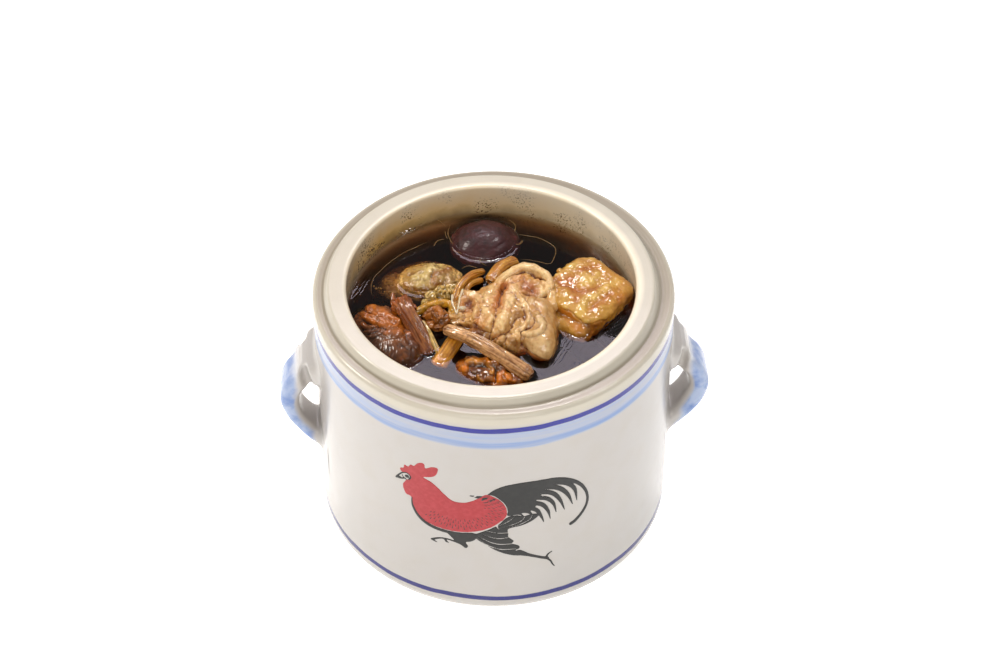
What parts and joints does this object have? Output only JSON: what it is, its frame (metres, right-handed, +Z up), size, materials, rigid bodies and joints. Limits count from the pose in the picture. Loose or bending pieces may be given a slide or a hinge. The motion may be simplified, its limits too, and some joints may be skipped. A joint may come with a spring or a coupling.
{
  "type": "pot of mushroom chicken soup",
  "caption": "Lidless glazed stoneware stew pot with looped ears, filled with clear brown soup, chicken, a red date and dried mushrooms.",
  "frame": {"origin": "centre of the pot's base, on the surface it stands on", "axes": "+Z up through the mouth, +X through the ear on the right, +Y away from the decorated front"},
  "size_m": [0.1506, 0.1234, 0.101],
  "materials": {
    "glazed_stoneware": "warm white glaze with brushed blue lines, soft gloss",
    "clear_soup": "clear dark brown liquid, mirror gloss",
    "boiled_chicken": "wet fibrous meat and pale skin",
    "chicken_skin": "wet golden skin",
    "sunken_chicken": "wet pale meat under a film of soup",
    "red_date_skin": "wet dark purple-brown skin",
    "dark_mushroom": "wet dark brown, wrinkled",
    "amber_mushroom_flesh": "wet amber brown, creased",
    "olive_mushroom_flesh": "wet olive brown, frilled",
    "mushroom_stalk": "wet brown fibres along the stalk",
    "orange_stalk": "wet tan to orange fibres along the stalk"
  },
  "bodies": {
    "root": {"pot": "glazed_stoneware", "soup": "clear_soup", "chicken_centre": "boiled_chicken", "chicken_right": "chicken_skin", "chicken_left": "sunken_chicken", "red_date": "red_date_skin", "mushroom_left": "dark_mushroom", "wrinkled_cap": "dark_mushroom", "amber_mushroom": "amber_mushroom_flesh", "olive_frill": "olive_mushroom_flesh", "stalk_upright": "mushroom_stalk", "stalk_thin": "olive_mushroom_flesh", "short_stalk": "orange_stalk", "front_stem": "mushroom_stalk", "curved_stem_long": "orange_stalk", "curved_stem_short": "orange_stalk", "ribbed_stalk": "orange_stalk"}
  },
  "joints": []
}
